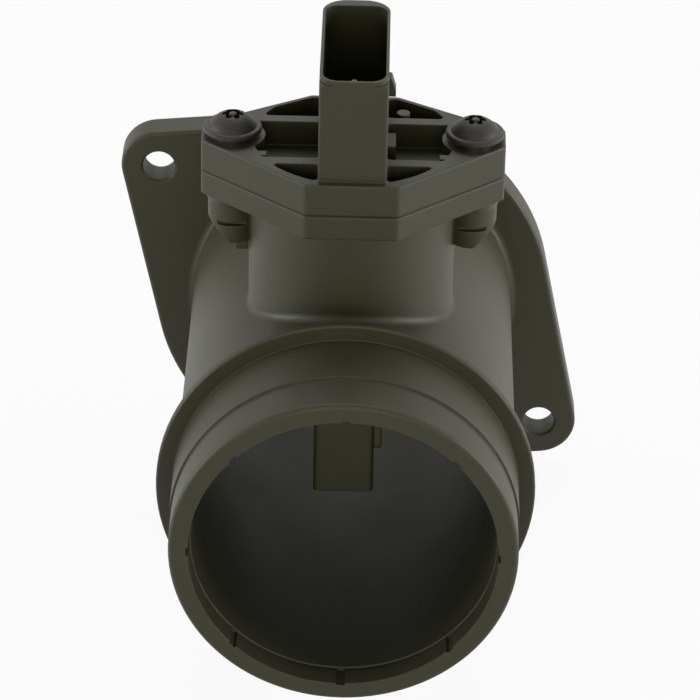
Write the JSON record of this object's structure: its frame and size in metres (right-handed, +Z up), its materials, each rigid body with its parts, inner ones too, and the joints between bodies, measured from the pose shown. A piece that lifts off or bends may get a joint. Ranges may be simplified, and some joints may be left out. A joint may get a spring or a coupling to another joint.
{
  "type": "mass airflow sensor",
  "caption": "Mass airflow sensor: a black moulded duct with a hose spigot and a two-lobed mounting flange, with a plug-in sensor and connector socket screwed onto its neck.",
  "frame": {"origin": "on the duct's axis, in the plane of the flange's rear mounting face", "axes": "+Y along the duct, out of the mounting face towards the air box; +Z up through the neck and the connector; +X to the right when looking along +Y into the outlet mouth"},
  "size_m": [0.1016, 0.1118, 0.1315],
  "materials": {
    "housing_plastic": "fine matt black, glass-filled polyamide",
    "body_plastic": "fine matt black, glass-filled polyester",
    "cover_plastic": "matt black",
    "screen_plastic": "matt black",
    "seal_rubber": "dull black",
    "screw_steel": "black coated steel, satin",
    "sleeve_steel": "drawn steel tube",
    "ring_steel": "spring steel wire",
    "insert_brass": "turned brass",
    "pin_metal": "tin-plated copper alloy",
    "plate_aluminium": "rolled sheet",
    "board_ceramic": "glazed ceramic board",
    "carrier_steel": "stamped steel",
    "chip_silicon": "polished silicon",
    "bead_resin": "epoxy-coated bead"
  },
  "bodies": {
    "root": {"duct_housing": "housing_plastic", "sensor_body": "body_plastic", "sensor_seal_ring": "seal_rubber", "sleeve_left": "sleeve_steel", "sleeve_right": "sleeve_steel", "insert_left": "insert_brass", "insert_right": "insert_brass", "screw_left": "screw_steel", "screw_right": "screw_steel", "contact_pin_1": "pin_metal", "contact_pin_2": "pin_metal", "contact_pin_3": "pin_metal", "contact_pin_4": "pin_metal", "contact_pin_5": "pin_metal", "base_plate": "plate_aluminium", "circuit_board": "board_ceramic", "electronics_cover": "cover_plastic", "bypass_cover": "cover_plastic", "element_carrier": "carrier_steel", "sensor_chip": "chip_silicon", "air_temperature_sensor": "bead_resin", "inlet_screen": "screen_plastic", "screen_ring": "ring_steel", "flange_seal": "seal_rubber"}
  },
  "joints": []
}
